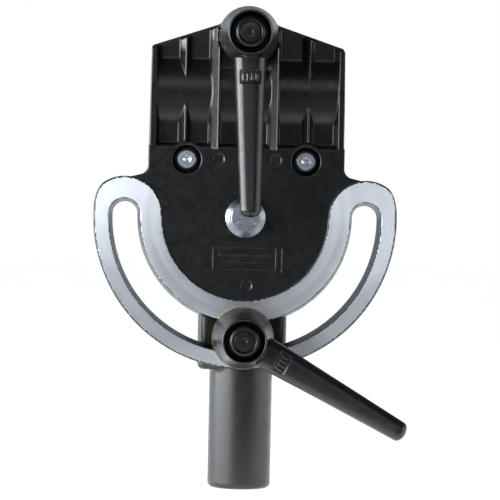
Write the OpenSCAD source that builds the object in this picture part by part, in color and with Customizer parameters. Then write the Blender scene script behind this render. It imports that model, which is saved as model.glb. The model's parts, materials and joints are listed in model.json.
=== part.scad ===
// Tilting boom clamp for a light stand.
// A cast clamp grips a boom tube and carries a slotted quadrant ring. The ring turns on a pivot bolt in a
// stand adapter, and a ratchet lever through the slot locks the tilt.
// Origin: centre of the stand pin's lower end. +Z up the pin, -Y towards the levers, +X along the boom.

/* [Stand adapter] */
// Diameter of the stand pin, made for a 1-1/8 inch socket
pin_d = 28.6; // [28:0.1:29]
// Length of the stand pin below the block
pin_l = 54; // [40:1:70]
// Radius on the lower edge of the pin
pin_edge_r = 2.3; // [1:0.1:4]
// Height of the pivot axis above the top of the pin
shoulder_drop = 69; // [68.5:0.5:76]
// Half width of the block below the quadrant
block_half_w = 20; // [18:0.5:20]
// Radius of the block around the pivot
block_top_r = 16.5; // [16:0.1:17]
// Rear face of the block
block_rear = 14.3; // [12:0.1:16]

/* [Quadrant] */
// Outer radius of the quadrant ring
ring_r = 68; // [67:0.5:70]
// Radius of the slot's centre line
slot_mid_r = 54; // [53:0.5:55]
// Width of the slot halfway through the casting
slot_w = 12.5; // [12.3:0.1:13.5]
// Radius of the painted disc inside the machined ring
disc_r = 37.3; // [36:0.1:37.4]
// Radius of the machined lobes around the slot's ends
lobe_r = 16.9; // [16:0.1:17]
// Height of the lobes' centres above the pivot
lobe_up = 0.7; // [0:0.1:1]
// Thickness of the casting at the quadrant
ring_t = 9.9; // [9:0.1:9.9]

/* [Boom clamp] */
// Diameter of the boom tube
boom_d = 35; // [30:0.5:35]
// Wall around the boom tube at the front
bulge_wall = 4.2; // [3.5:0.1:4.5]
// Height of the boom tube's axis above the pivot
boom_up = 56.5; // [56:0.1:57]
// Half width of the clamp body
body_half_w = 44; // [43:0.1:45]
// Height of the clamp lever's axis above the pivot
clamp_up = 81; // [80.5:0.1:81.5]
// Height of the roof's peak above the pivot
roof_up = 91; // [90:0.5:92]

/* [Ratchet levers] */
// Diameter of the lever hub at its base
hub_d = 27.4; // [26:0.1:28]
// Diameter of the lever hub at its front rim
rim_d = 19.4; // [19.4:0.1:22]
// Height of the lever hub
hub_h = 29; // [28.5:0.5:32]
// Distance from the hub's axis to the end of the arm
arm_reach = 82; // [70:1:90]
// Direction of the clamp lever's arm, from the +X axis
clamp_arm_dir = -89; // [-110:1:-70]
// Direction of the tilt lever's arm, from the +X axis
tilt_arm_dir = -29; // [-45:0.5:0]

/* [Hidden] */
$fn = 96;
eps = 0.5;

// Colours
painted = [0.13, 0.13, 0.14];
machined = [0.72, 0.74, 0.77];
zinc = [0.62, 0.65, 0.70];
steel = [0.55, 0.56, 0.58];
yellow_zinc = [0.80, 0.66, 0.30];
nylon = [0.88, 0.88, 0.84];
cap_black = [0.07, 0.07, 0.08];

// Fits
run_gap = 0.05;
rest_gap = 0.05;

// Levels along Y, with the front at negative Y
plate_front = -22;
ring_front = plate_front - 0.6;
plate_rear = plate_front + ring_t;
slot_draft = 0.14;
block_front = plate_rear + 0.2;
parting = 1;
hinge_parting = 0.5;

// Pivot
pivot_z = pin_l + shoulder_drop;
m8_r = 4;
bush_r = 5.5;
bush_flange_r = 8.6;
disc_od = 30;
disc_t = 1.9;
m8_washer_r = 8;
m8_washer_t = 1.6;
m8_nylon_r = 5.7;
m8_nylon_h = 2.5;
m8_nut_h = 8;
pivot_nut_face = block_rear + m8_washer_t + 2 * rest_gap;
insert_r = 6.5;
insert_l = 17.8;

// Boom seat and side profile of the clamp body
boom_r = boom_d / 2;
bulge_r = boom_r + bulge_wall;
floor_front = -16.8;
plate_top = 31.5;
eave_up = 76.5;
body_foot = 21;
rib_w = 3;
rib_x = 13.2;
mid_rib_x = 27.5;
side_rib_x = body_half_w - rib_w / 2;
inner_rib_front = plate_front - 2.5;
mid_rib_front = plate_front + 1;
hinge_boss_r = 8.1;

// Hinge screws, M5
m5_r = 2.5;
hinge_x = 26.7;
hinge_up = 25.6;
hinge_y = 14;
m5_head_r = 4.25;
m5_head_h = 5;
m5_washer_r = 5;
m5_washer_t = 1;
m5_nylon_r = 3.4;
m5_nylon_h = 1.6;
m5_nut_h = 5;
counterbore_r = 6.5;
counterbore_floor = -16;
jaw_hole_r = 3.4;
jaw_foot_rear = 16;
jaw_gap = 0.35;

// Cross nut
cross_nut_r = 6;
cross_nut_l = 20;
ear_half_w = 12.5;
spring_pocket_r = 8.2;
body_pocket = -8;
jaw_pocket = 4;

// Lever internals, as heights above the hub's base
tooth_n = 18;
tooth_in_r = 7;
tooth_out_r = 7.9;
tooth_h = 4.3;
neck_r = 5.8;
neck_top = 14;
ledge_u = 9.2;
arm_root = 10.3;
arm_top = 24;
cavity_r = 9;
screw_flange_u = 20;
screw_flange_t = 1.2;
screw_flange_r = 8.2;
screw_head_r = 4.4;
screw_head_h = 4;
cap_r = 6.9;
spring_mean_r = 7.3;
spring_wire_r = 0.6;
boss_front = -20.5;
lever_washer_t = 1;
clamp_base = boss_front - lever_washer_t - 2 * rest_gap;
tilt_base = ring_front - lever_washer_t - 2 * rest_gap;
stud_bore_r = m8_r + run_gap;

// ---- Helpers ----

// Extrudes an outline in the XZ plane along Y, from its front level to its rear level.
module slab(front, rear) {
    translate([0, rear, 0]) rotate([90, 0, 0]) linear_extrude(rear - front) children();
}

// Extrudes an outline in the YZ plane along X, centred.
module bar_x(width) {
    rotate([90, 0, 90]) linear_extrude(width, center = true) children();
}

// A shaft or a drill along Y.
module rod_y(r, front, rear, x = 0, up = 0) {
    translate([x, rear, up]) rotate([90, 0, 0]) cylinder(h = rear - front, r = r);
}

// A cone along Y, from its front radius to its rear radius.
module cone_y(front_r, rear_r, front, rear, x = 0, up = 0) {
    translate([x, rear, up]) rotate([90, 0, 0]) cylinder(h = rear - front, r1 = rear_r, r2 = front_r);
}

// A hexagon along Y with its corners up and down, given across its flats.
module hex_y(flats, front, rear, x = 0, up = 0) {
    translate([x, rear, up]) rotate([90, 30, 0]) cylinder(h = rear - front, r = flats / sqrt(3), $fn = 6);
}

module at_pivot() {
    translate([0, 0, pivot_z]) children();
}

// A lever's own frame: +Z out of the hub, +X along the arm.
module lever_frame(up, base, dir) {
    at_pivot() translate([0, base, up]) rotate([0, -dir, 0]) rotate([90, 0, 0]) children();
}

module clamp_frame() {
    lever_frame(clamp_up, clamp_base, clamp_arm_dir) children();
}

module tilt_frame() {
    lever_frame(-slot_mid_r, tilt_base, tilt_arm_dir) children();
}

// A washer along Y.
module washer_y(r, bore, front, t, x = 0, up = 0) {
    difference() {
        rod_y(r, front, front + t, x, up);
        rod_y(bore, front - eps, front + t + eps, x, up);
    }
}

// A lock nut along Y, with a recess at its rear for the nylon ring.
module lock_nut_y(flats, h, bore, nylon_r, nylon_h, front, x = 0, up = 0) {
    difference() {
        intersection() {
            hex_y(flats, front, front + h, x, up);
            rod_y(flats * 0.56, front, front + h, x, up);
        }
        rod_y(bore, front - eps, front + h + eps, x, up);
        rod_y(nylon_r, front + h - nylon_h, front + h + eps, x, up);
    }
}

// A coil spring along +Z: points around the wire, swept up a helix.
module coil(mean_r, wire_r, turns, height) {
    per_turn = 20;
    around = 8;
    n = turns * per_turn;
    rise = height - 2 * wire_r;
    points = [for (i = [0:n], j = [0:around - 1])
        let (a = i * 360 / per_turn, b = j * 360 / around, r = mean_r + wire_r * cos(b))
        [r * cos(a), r * sin(a), wire_r + rise * i / n + wire_r * sin(b)]];
    sides = [for (i = [0:n - 1], j = [0:around - 1])
        [i * around + j, (i + 1) * around + j,
         (i + 1) * around + (j + 1) % around, i * around + (j + 1) % around]];
    start = [for (j = [0:around - 1]) j];
    finish = [for (j = [around - 1:-1:0]) n * around + j];
    polyhedron(points, concat(sides, [start, finish]));
}

// ---- Stand adapter and pivot ----

// Front outline of the block: round over the pivot and widening down to the shoulder.
module block_outline() {
    foot_r = 3;
    circle(block_top_r);
    polygon([[-block_top_r + 0.1, 0], [-block_half_w, -45], [-block_half_w, foot_r - shoulder_drop],
             [foot_r - block_half_w, -shoulder_drop], [block_half_w - foot_r, -shoulder_drop],
             [block_half_w, foot_r - shoulder_drop], [block_half_w, -45], [block_top_r - 0.1, 0]]);
}

// Plan of the block, with rounded upright edges.
module block_plan() {
    edge_r = 4;
    depth = block_rear - block_front;
    translate([-block_half_w, block_front + edge_r]) square([2 * block_half_w, depth - 2 * edge_r]);
    translate([edge_r - block_half_w, block_front]) square([2 * (block_half_w - edge_r), depth]);
    for (side = [-1, 1], y = [block_front + edge_r, block_rear - edge_r])
        translate([side * (block_half_w - edge_r), y]) circle(edge_r);
}

// Half profile of the pin, with a rounded lower edge and a core that reaches into the block.
module pin_profile() {
    pin_r = pin_d / 2;
    square([pin_r / 2, pin_l + eps]);
    square([pin_r - pin_edge_r, pin_l]);
    translate([0, pin_edge_r]) square([pin_r, pin_l - pin_edge_r]);
    intersection() {
        translate([pin_r - pin_edge_r, pin_edge_r]) circle(pin_edge_r);
        square([pin_r, pin_l]);
    }
}

module stand_adapter() {
    insert_rear = 6;
    color(painted) {
        rotate_extrude() pin_profile();
        at_pivot() difference() {
            intersection() {
                slab(block_front, block_rear) block_outline();
                translate([0, 0, -shoulder_drop]) linear_extrude(shoulder_drop + block_top_r) block_plan();
            }
            rod_y(m8_r + run_gap, block_front - eps, block_rear + eps);
            rod_y(disc_od / 2 + 0.1, block_front - eps, block_front + disc_t);
            rod_y(insert_r, block_front - eps, insert_rear, 0, -slot_mid_r);
            rod_y(m8_r + 0.3, block_front - eps, insert_rear + 3, 0, -slot_mid_r);
        }
    }
}

module friction_disc() {
    color(nylon) at_pivot() washer_y(disc_od / 2, m8_r + 0.3, plate_rear + rest_gap, disc_t);
}

module pivot_bolt() {
    flange_r = 8.95;
    flange_rear = plate_front - 1 - rest_gap;
    flange_front = flange_rear - 2.2;
    head_front = flange_front - 5.8;
    color(zinc) at_pivot() {
        rod_y(m8_r, flange_front, pivot_nut_face + 9.5);
        rod_y(flange_r, flange_rear - 0.7, flange_rear);
        cone_y(6.9, flange_r, flange_front, flange_rear - 0.7);
        intersection() {
            hex_y(13, head_front, flange_front + 0.1);
            cone_y(6.2, 14.5, head_front, flange_front + 0.1);
        }
    }
}

module pivot_washer() {
    color(zinc) at_pivot() washer_y(m8_washer_r, m8_r + 0.2, block_rear + rest_gap, m8_washer_t);
}

module pivot_nut() {
    color(zinc) at_pivot() lock_nut_y(13, m8_nut_h, m8_r, m8_nylon_r, m8_nylon_h, pivot_nut_face);
}

module pivot_nut_ring() {
    color(nylon) at_pivot() washer_y(m8_nylon_r, m8_r, pivot_nut_face + m8_nut_h - m8_nylon_h, m8_nylon_h);
}

module stud_insert() {
    color(steel) at_pivot() washer_y(insert_r, stud_bore_r, block_front + 0.1, insert_l, 0, -slot_mid_r);
}

// Guides the stud along the quadrant's slot.
module slot_bush() {
    color(steel) at_pivot()
        washer_y(slot_w / 2 - 0.9, stud_bore_r, ring_front + 0.1, ring_t + 0.6, 0, -slot_mid_r);
}

module slot_washer() {
    color(yellow_zinc) at_pivot()
        washer_y(hub_d / 2 + 0.25, stud_bore_r + 0.1, ring_front - rest_gap - lever_washer_t, lever_washer_t,
                 0, -slot_mid_r);
}

// ---- Clamp body ----

// The quadrant: the lower half disc and a round lobe at each end of the slot.
module ring_outline(inset = 0) {
    intersection() {
        circle(ring_r - inset);
        union() {
            translate([-ring_r, -ring_r]) square([2 * ring_r, ring_r]);
            for (side = [-1, 1]) translate([side * slot_mid_r, 0]) {
                translate([0, lobe_up]) circle(lobe_r - inset);
                translate([inset - lobe_r, 0]) square([2 * (lobe_r - inset), lobe_up]);
            }
        }
    }
}

// The slot, whose walls lean in towards the rear.
module slot_cutter() {
    depth = plate_rear - ring_front + 2;
    front_half = slot_w / 2 + slot_draft * depth / 2;
    rear_half = slot_w / 2 - slot_draft * depth / 2;
    translate([0, plate_rear + 1, 0]) rotate([90, 0, 0]) {
        rotate([0, 0, 180]) rotate_extrude(angle = 180)
            polygon([[slot_mid_r - rear_half, 0], [slot_mid_r + rear_half, 0],
                     [slot_mid_r + front_half, depth], [slot_mid_r - front_half, depth]]);
        for (side = [-1, 1], up = [0, lobe_up]) translate([side * slot_mid_r, up, 0])
            cylinder(h = depth, r1 = rear_half, r2 = front_half);
    }
}

// Painted plate between the lobes, up to the step below the boom bulge.
module plate_outline() {
    wing_x = 55;
    polygon([[-wing_x, -1], [wing_x, -1], [wing_x, 16.4], [body_half_w, 19.3], [body_half_w, plate_top],
             [-body_half_w, plate_top], [-body_half_w, 19.3], [-wing_x, 16.4]]);
}

// Front outline of the clamp, under the sloping roof or a level below it.
module roof_outline(drop = 0) {
    polygon([[-body_half_w, body_foot], [body_half_w, body_foot], [body_half_w - 0.7, eave_up - drop],
             [0, roof_up - drop], [0.7 - body_half_w, eave_up - drop]]);
}

// Side profile of the clamp body, in Y and Z: foot, bulge over the tube and flange above it.
module body_profile() {
    polygon([[-hinge_parting, body_foot], [plate_front, body_foot], [plate_front, plate_top],
             [floor_front, plate_top], [floor_front, roof_up], [-parting, roof_up],
             [-parting, 36], [-hinge_parting, 34]]);
    intersection() {
        translate([0, boom_up]) circle(bulge_r);
        translate([-bulge_r - 1, boom_up - bulge_r]) square([bulge_r + 1 - parting, 2 * bulge_r]);
    }
}

// Upright ribs across the bulge, and the boss that carries the lever between the inner ones.
module front_ribs() {
    rib_top = roof_up - 2;
    rib_depth = 10;
    boss_foot = 66;
    ribs = [[rib_x, inner_rib_front], [mid_rib_x, mid_rib_front], [side_rib_x, plate_front]];
    for (side = [-1, 1], rib = ribs)
        translate([side * rib[0] - rib_w / 2, rib[1], plate_top - 1])
            cube([rib_w, rib_depth, rib_top - plate_top]);
    translate([-rib_x, boss_front, boss_foot]) cube([2 * rib_x, rib_depth, rib_top - boss_foot]);
}

// Plain raised frame and bar on the plate, and the shallow round marks left by ejector pins.
module badge() {
    for (inset = [0, 1]) difference() {
        slab(plate_front - 0.4, plate_front + 0.1)
            translate([-14.4 + 2 * inset, -23.4 + 2 * inset]) square([29 - 4 * inset, 9.8 - 4 * inset]);
        slab(plate_front - 1, plate_front + 1)
            translate([-13.6 + 2 * inset, -22.6 + 2 * inset]) square([27.4 - 4 * inset, 8.2 - 4 * inset]);
    }
    slab(plate_front - 0.4, plate_front + 0.1) translate([16.4, -24.3]) square([0.8, 10.7]);
}

module ejector_marks() {
    for (spot = [[-12.4, 26], [13.2, 26], [1, -30.4]])
        rod_y(2.4, plate_front - eps, plate_front + 0.3, spot.x, spot.y);
}

// The casting without the machined face of its ring.
module painted_body() {
    difference() {
        union() {
            slab(plate_front, plate_rear) {
                ring_outline();
                plate_outline();
            }
            intersection() {
                bar_x(2 * body_half_w) body_profile();
                slab(-bulge_r - 1, 1) roof_outline();
            }
            intersection() {
                front_ribs();
                slab(inner_rib_front - 1, 1) roof_outline(1.5);
            }
            for (side = [-1, 1]) rod_y(hinge_boss_r, plate_front, plate_rear, side * hinge_x, hinge_up);
            badge();
        }
        slot_cutter();
        bar_x(2 * body_half_w + 2) translate([0, boom_up]) circle(boom_r);
        rod_y(bush_r, plate_front - eps, plate_rear + eps);
        rod_y(m8_r + 0.3, boss_front - eps, 1, 0, clamp_up);
        rod_y(spring_pocket_r, body_pocket, 1, 0, clamp_up);
        rod_y(hub_d / 2 + 0.3, inner_rib_front - eps, boss_front, 0, clamp_up);
        for (side = [-1, 1]) {
            cone_y(counterbore_r, counterbore_r - 1, plate_front - eps, counterbore_floor,
                   side * hinge_x, hinge_up);
            rod_y(m5_r + 0.2, counterbore_floor - eps, 1, side * hinge_x, hinge_up);
        }
        ejector_marks();
    }
}

// Machined face of the ring, raised from the paint and set in from its edge.
module ring_face() {
    difference() {
        slab(ring_front, plate_front + 0.1) difference() {
            ring_outline(0.5);
            circle(disc_r);
        }
        slot_cutter();
    }
}

module clamp_body() {
    at_pivot() {
        color(painted) painted_body();
        color(machined) ring_face();
    }
}

module pivot_bush() {
    color(steel) at_pivot() difference() {
        union() {
            rod_y(bush_r, plate_front, plate_rear - 0.1);
            rod_y(bush_flange_r, plate_front - 1, plate_front);
        }
        rod_y(m8_r + run_gap, plate_front - 2, plate_rear + 1);
    }
}

module hinge_screws() {
    head_rear = counterbore_floor;
    head_front = head_rear - m5_head_h;
    edge = 0.5;
    color(zinc) at_pivot() for (side = [-1, 1]) difference() {
        union() {
            cone_y(m5_head_r - edge, m5_head_r, head_front, head_front + edge, side * hinge_x, hinge_up);
            rod_y(m5_head_r, head_front + edge, head_rear, side * hinge_x, hinge_up);
            rod_y(m5_r, head_rear - 1, 23, side * hinge_x, hinge_up);
        }
        hex_y(4, head_front - eps, head_front + 2.2, side * hinge_x, hinge_up);
        cone_y(2, 0, head_front + 2.2, head_front + 3.2, side * hinge_x, hinge_up);
    }
}

module hinge_washers() {
    color(zinc) at_pivot() for (side = [-1, 1])
        washer_y(m5_washer_r, m5_r + 0.15, jaw_foot_rear + jaw_gap, m5_washer_t, side * hinge_x, hinge_up);
}

module hinge_nuts() {
    front = jaw_foot_rear + jaw_gap + m5_washer_t;
    color(zinc) at_pivot() for (side = [-1, 1])
        lock_nut_y(8, m5_nut_h, m5_r, m5_nylon_r, m5_nylon_h, front, side * hinge_x, hinge_up);
}

module hinge_nut_rings() {
    front = jaw_foot_rear + jaw_gap + m5_washer_t + m5_nut_h - m5_nylon_h;
    color(nylon) at_pivot() for (side = [-1, 1])
        washer_y(m5_nylon_r, m5_r, front, m5_nylon_h, side * hinge_x, hinge_up);
}

module clamp_washer() {
    color(zinc) at_pivot()
        washer_y(11, stud_bore_r + 0.2, boss_front - rest_gap - lever_washer_t, lever_washer_t, 0, clamp_up);
}

// ---- Rear jaw ----

// Side profile of the jaw, in Y and Z: foot, shell over the tube and ear around the cross nut.
module jaw_profile() {
    polygon([[hinge_parting, body_foot], [jaw_foot_rear, body_foot], [jaw_foot_rear, 38], [parting, 46],
             [parting, 36], [hinge_parting, 34]]);
    intersection() {
        translate([0, boom_up]) circle(bulge_r);
        translate([parting, boom_up - bulge_r]) square([bulge_r, 2 * bulge_r]);
    }
    translate([parting, 68]) square([9, 7]);
}

module jaw_ear_profile() {
    polygon([[parting, 60], [21, 60], [22.5, 72], [22.5, 88], [19, 93], [parting, 93]]);
}

// Front outline of the ear, rounded about the stud.
module jaw_ear_outline() {
    translate([0, clamp_up]) circle(ear_half_w);
    translate([-ear_half_w, boom_up]) square([2 * ear_half_w, clamp_up - boom_up]);
}

module jaw_rib_profile() {
    polygon([[parting, 30], [jaw_foot_rear, 30], [23.5, 48], [23.5, 62], [parting + 9, 74], [parting, 74]]);
}

module rear_jaw() {
    jaw_half_w = 38;
    color(painted) at_pivot() difference() {
        union() {
            bar_x(2 * jaw_half_w) jaw_profile();
            intersection() {
                bar_x(2 * ear_half_w) jaw_ear_profile();
                slab(parting, 23) jaw_ear_outline();
            }
            for (side = [-1, 1]) translate([side * (jaw_half_w - rib_w / 2), 0, 0])
                bar_x(rib_w) jaw_rib_profile();
        }
        bar_x(2 * body_half_w) translate([0, boom_up]) circle(boom_r);
        bar_x(2 * body_half_w) translate([hinge_y, clamp_up]) circle(cross_nut_r + run_gap);
        rod_y(5, 0, 25, 0, clamp_up);
        rod_y(spring_pocket_r, 0, jaw_pocket, 0, clamp_up);
        for (side = [-1, 1]) rod_y(jaw_hole_r, 0, 25, side * hinge_x, hinge_up);
    }
}

// The nut that the clamp stud screws into, free to turn in the jaw as the jaw rocks.
module barrel_nut() {
    color(steel) at_pivot() difference() {
        bar_x(cross_nut_l) translate([hinge_y, clamp_up]) circle(cross_nut_r);
        rod_y(m8_r + 0.2, 5, 23, 0, clamp_up);
    }
}

module jaw_spring() {
    color(steel) at_pivot() translate([0, jaw_pocket - 0.1, clamp_up]) rotate([90, 0, 0])
        coil(6.2, 0.7, 4, jaw_pocket - body_pocket - 0.2);
}

// ---- Ratchet levers ----

// Outline of the ratchet teeth.
module teeth(grow = 0) {
    polygon([for (i = [0:2 * tooth_n - 1])
        let (r = grow + (i % 2 == 0 ? tooth_out_r : tooth_in_r), a = i * 180 / tooth_n)
        [r * cos(a), r * sin(a)]]);
}

// Threaded stud, tapped at its front end for the retaining screw.
module lever_stud(tail) {
    tap_u = 6;
    difference() {
        translate([0, 0, -tail]) cylinder(h = tail + neck_top, r = m8_r);
        translate([0, 0, tap_u]) cylinder(h = neck_top, r = m5_r);
    }
}

// Toothed sleeve fixed on the stud, with a smooth neck that the lever slides on.
module lever_spline() {
    difference() {
        union() {
            linear_extrude(tooth_h) teeth();
            cylinder(h = neck_top, r = neck_r);
        }
        translate([0, 0, -eps]) cylinder(h = neck_top + 1, r = m8_r);
    }
}

// Arm seen from the front: tapering to a round end.
module arm_plan() {
    root_half_w = 7;
    tip_r = 4.5;
    tip_x = arm_reach - tip_r;
    polygon([[arm_root, root_half_w], [arm_root, -root_half_w], [tip_x, -tip_r], [tip_x, tip_r]]);
    translate([tip_x, 0]) circle(tip_r);
}

// Arm seen from the side: deep where it leaves the hub and rising to the tip.
module arm_side() {
    tip_r = 4.3;
    tip_x = arm_reach - tip_r;
    tip_u = 30;
    polygon([[arm_root, 7], [30, 12], [tip_x, tip_u - tip_r], [tip_x, tip_u + tip_r], [30, 25.4],
             [arm_root, arm_top]]);
    translate([tip_x, tip_u]) circle(tip_r);
}

module lever_handle() {
    base_gap = 0.15;
    difference() {
        union() {
            translate([0, 0, base_gap]) cylinder(h = hub_h - base_gap, d1 = hub_d, d2 = rim_d);
            intersection() {
                linear_extrude(40) arm_plan();
                rotate([90, 0, 0]) linear_extrude(30, center = true) arm_side();
            }
        }
        translate([0, 0, -eps]) linear_extrude(tooth_h + eps + 0.2) teeth(0.2);
        cylinder(h = hub_h, r = neck_r + 0.08);
        translate([0, 0, ledge_u]) cylinder(h = hub_h, r = cavity_r);
    }
}

module lever_spring() {
    translate([0, 0, ledge_u + 0.1]) coil(spring_mean_r, spring_wire_r, 4, screw_flange_u - ledge_u - 0.2);
}

// Retaining screw, whose flange holds the spring down.
module lever_screw() {
    shank_u = 7;
    translate([0, 0, shank_u]) cylinder(h = screw_flange_u - shank_u + eps, r = m5_r);
    translate([0, 0, screw_flange_u]) cylinder(h = screw_flange_t, r = screw_flange_r);
    translate([0, 0, screw_flange_u]) cylinder(h = screw_flange_t + screw_head_h, r = screw_head_r);
}

// Cap pressed over the screw's head, with a ring groove and a dimple in its face.
module lever_cap() {
    foot_u = screw_flange_u + screw_flange_t + rest_gap;
    difference() {
        translate([0, 0, foot_u]) cylinder(h = hub_h - foot_u, r = cap_r);
        translate([0, 0, foot_u - eps]) cylinder(h = screw_head_h + 0.6, r = screw_head_r + 0.05);
        translate([0, 0, hub_h - 0.5]) difference() {
            cylinder(h = 1, r = 4.9);
            translate([0, 0, -eps]) cylinder(h = 2, r = 4.3);
        }
        translate([0, 0, hub_h - 0.8]) cylinder(h = 1, r = 1.1);
    }
}

module clamp_stud() {
    color(steel) clamp_frame() lever_stud(21 - clamp_base);
}

module clamp_spline() {
    color(steel) clamp_frame() lever_spline();
}

module clamp_lever() {
    color(painted) clamp_frame() lever_handle();
}

module clamp_lever_spring() {
    color(steel) clamp_frame() lever_spring();
}

module clamp_lever_screw() {
    color(zinc) clamp_frame() lever_screw();
}

module clamp_lever_cap() {
    color(cap_black) clamp_frame() lever_cap();
}

module tilt_stud() {
    color(steel) tilt_frame() lever_stud(7 - tilt_base);
}

module tilt_spline() {
    color(steel) tilt_frame() lever_spline();
}

module tilt_lever() {
    color(painted) tilt_frame() lever_handle();
}

module tilt_lever_spring() {
    color(steel) tilt_frame() lever_spring();
}

module tilt_lever_screw() {
    color(zinc) tilt_frame() lever_screw();
}

module tilt_lever_cap() {
    color(cap_black) tilt_frame() lever_cap();
}

stand_adapter();
friction_disc();
pivot_bolt();
pivot_washer();
pivot_nut();
pivot_nut_ring();
stud_insert();
slot_bush();
slot_washer();
clamp_body();
pivot_bush();
hinge_screws();
hinge_washers();
hinge_nuts();
hinge_nut_rings();
clamp_washer();
rear_jaw();
barrel_nut();
jaw_spring();
clamp_stud();
clamp_spline();
clamp_lever();
clamp_lever_spring();
clamp_lever_screw();
clamp_lever_cap();
tilt_stud();
tilt_spline();
tilt_lever();
tilt_lever_spring();
tilt_lever_screw();
tilt_lever_cap();
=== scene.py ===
"""Looks of the tilting boom clamp: smooth castings and levers, small parts from the CAD and a studio stage.

Shapes are written as fields: a function of x, y, z in millimetres that is negative inside the piece. One
mesher turns a field into a quad mesh and then moves each vertex onto the field's zero level.
"""

import json
import math

import bpy
import numpy as np
from mathutils import Matrix, Vector


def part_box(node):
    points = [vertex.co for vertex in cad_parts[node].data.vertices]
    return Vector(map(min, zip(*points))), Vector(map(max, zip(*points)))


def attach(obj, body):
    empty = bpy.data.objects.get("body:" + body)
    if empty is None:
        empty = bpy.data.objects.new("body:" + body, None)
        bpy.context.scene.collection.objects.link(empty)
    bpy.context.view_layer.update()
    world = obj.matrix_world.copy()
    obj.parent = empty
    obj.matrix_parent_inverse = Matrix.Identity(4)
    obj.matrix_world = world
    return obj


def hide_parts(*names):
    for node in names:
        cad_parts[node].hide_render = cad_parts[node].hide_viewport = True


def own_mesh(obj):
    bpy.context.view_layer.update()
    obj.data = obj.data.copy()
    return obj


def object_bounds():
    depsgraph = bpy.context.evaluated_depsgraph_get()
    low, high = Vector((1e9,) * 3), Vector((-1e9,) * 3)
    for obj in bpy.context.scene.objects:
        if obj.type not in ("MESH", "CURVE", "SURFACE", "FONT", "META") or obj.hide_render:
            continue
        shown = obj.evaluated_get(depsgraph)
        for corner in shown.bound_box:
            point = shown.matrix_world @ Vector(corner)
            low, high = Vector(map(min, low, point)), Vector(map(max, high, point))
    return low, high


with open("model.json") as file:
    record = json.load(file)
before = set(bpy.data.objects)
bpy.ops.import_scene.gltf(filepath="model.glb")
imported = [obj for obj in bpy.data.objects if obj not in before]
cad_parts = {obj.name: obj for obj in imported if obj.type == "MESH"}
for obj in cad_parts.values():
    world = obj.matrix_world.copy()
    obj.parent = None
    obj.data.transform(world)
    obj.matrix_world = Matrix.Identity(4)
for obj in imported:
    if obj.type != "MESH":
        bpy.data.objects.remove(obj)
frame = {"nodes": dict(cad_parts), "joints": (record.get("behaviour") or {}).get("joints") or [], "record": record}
cad_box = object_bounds()
JOINTS = {joint["name"]: joint for joint in frame["joints"]}
MM = 0.001
PIVOT = Vector(JOINTS["tilt"]["pos_m"])
CLAMP_AXIS = Vector(JOINTS["clamp_lever_turn"]["pos_m"])
TILT_AXIS = Vector(JOINTS["tilt_lever_turn"]["pos_m"])


def mm_box(node):
    """A CAD node's box in millimetres, measured from the pivot."""
    low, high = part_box(node)
    return (low - PIVOT) / MM, (high - PIVOT) / MM


# Sizes and places below are in millimetres from the pivot: x along the boom, y to the rear and z up.
BODY_LOW, BODY_HIGH = mm_box("clamp_body")
ADAPTER_LOW, ADAPTER_HIGH = mm_box("stand_adapter")

# Levels of the casting's faces: the inner ribs stand in front of the ring, the ring in front of the plate.
RIB_STAND = 1.9
RING_STAND = 0.6
RING_FRONT = BODY_LOW.y + RIB_STAND
PLATE_FRONT = RING_FRONT + RING_STAND
PLATE_REAR = PLATE_FRONT + 9.9
FLOOR_FRONT = -16.8

# Half of the gap between the casting and the rear jaw, at the boom and at the foot under it.
BOOM_GAP = 1.0
FOOT_GAP = 0.5
FOOT_TOP = 34

# Quadrant: a machined ring round a painted disc, and an arc slot with a round lobe at each end.
RING_R = BODY_HIGH.x
DISC_R = 37.3
SLOT_R = (PIVOT.z - TILT_AXIS.z) / MM
SLOT_HALF_W = 7.0
SLOT_DRAFT = 0.14
LOBE_R = 16.9
LOBE_UP = 0.7

# Clamp body: its sides, the plate's foot and top, the wings at the plate's sides, and the roof.
BODY_HALF_W = 44.0
BODY_FOOT = 21.0
PLATE_TOP = 31.5
WING_TOP = 19.3
WING_SLOPE = 0.246
WING_SLOPE_COS = 0.971
WING_REACH = 56
ROOF_PEAK = BODY_HIGH.z
ROOF_ANGLE = math.radians(18.5)
ROOF_SLOPE = math.tan(ROOF_ANGLE)

# Boom seat and the bulge over it.
BOOM_UP = 56.5
BOOM_R = 17.5
BULGE_R = BOOM_R + 4.2

# Places and bores of the hardware.
CLAMP_UP = (CLAMP_AXIS.z - PIVOT.z) / MM
LEVER_SEAT_R = 14.0
LEVER_SEAT_Y = -20.5
STUD_BORE_R = 4.3
JAW_SPRING_R = 8.2
JAW_SPRING_FRONT = -8
CROSS_NUT_R = 6.05
HINGE_X = 26.7
HINGE_UP = 25.6
HINGE_BORE_R = 2.7
HINGE_POCKET_R = 6.5
HINGE_POCKET_FLOOR = -16
PIVOT_BORE_R = 5.5

# Round ejector marks on the plate, as (x, z).
MARKS = ((-12.4, 26.0), (13.2, 26.0), (1.0, -30.4))
MARK_R = 2.4
MARK_DEPTH = 0.35

# Front ribs on either side: centre, half width of the top, top below the plate's face, slopes of the left and
# the right flank, and how deep those slopes reach. Below that a flank keeps only its draft.
RIBS = ((13.2, 0.4, -RIB_STAND - RING_STAND, 0.8, 0.08, 3.6),
        (27.6, 0.3, 1.0, 0.8, 0.5, 3.0),
        (42.5, 1.6, 0.0, 0.35, 0.35, 8.0))
RIB_DRAFT = 0.15


# ---- Fields -------------------------------------------------------------------------------------------


def join(a, b, r=0.0):
    """Union with a fillet of radius r."""
    if r <= 0:
        return np.minimum(a, b)
    return np.maximum(r, np.minimum(a, b)) - np.hypot(np.maximum(r - a, 0), np.maximum(r - b, 0))


def meet(a, b, r=0.0):
    """Intersection with an edge radius r."""
    return -join(-a, -b, r)


def cut(a, b, r=0.0):
    """a less b, with an edge radius r."""
    return meet(a, -b, r)


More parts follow.
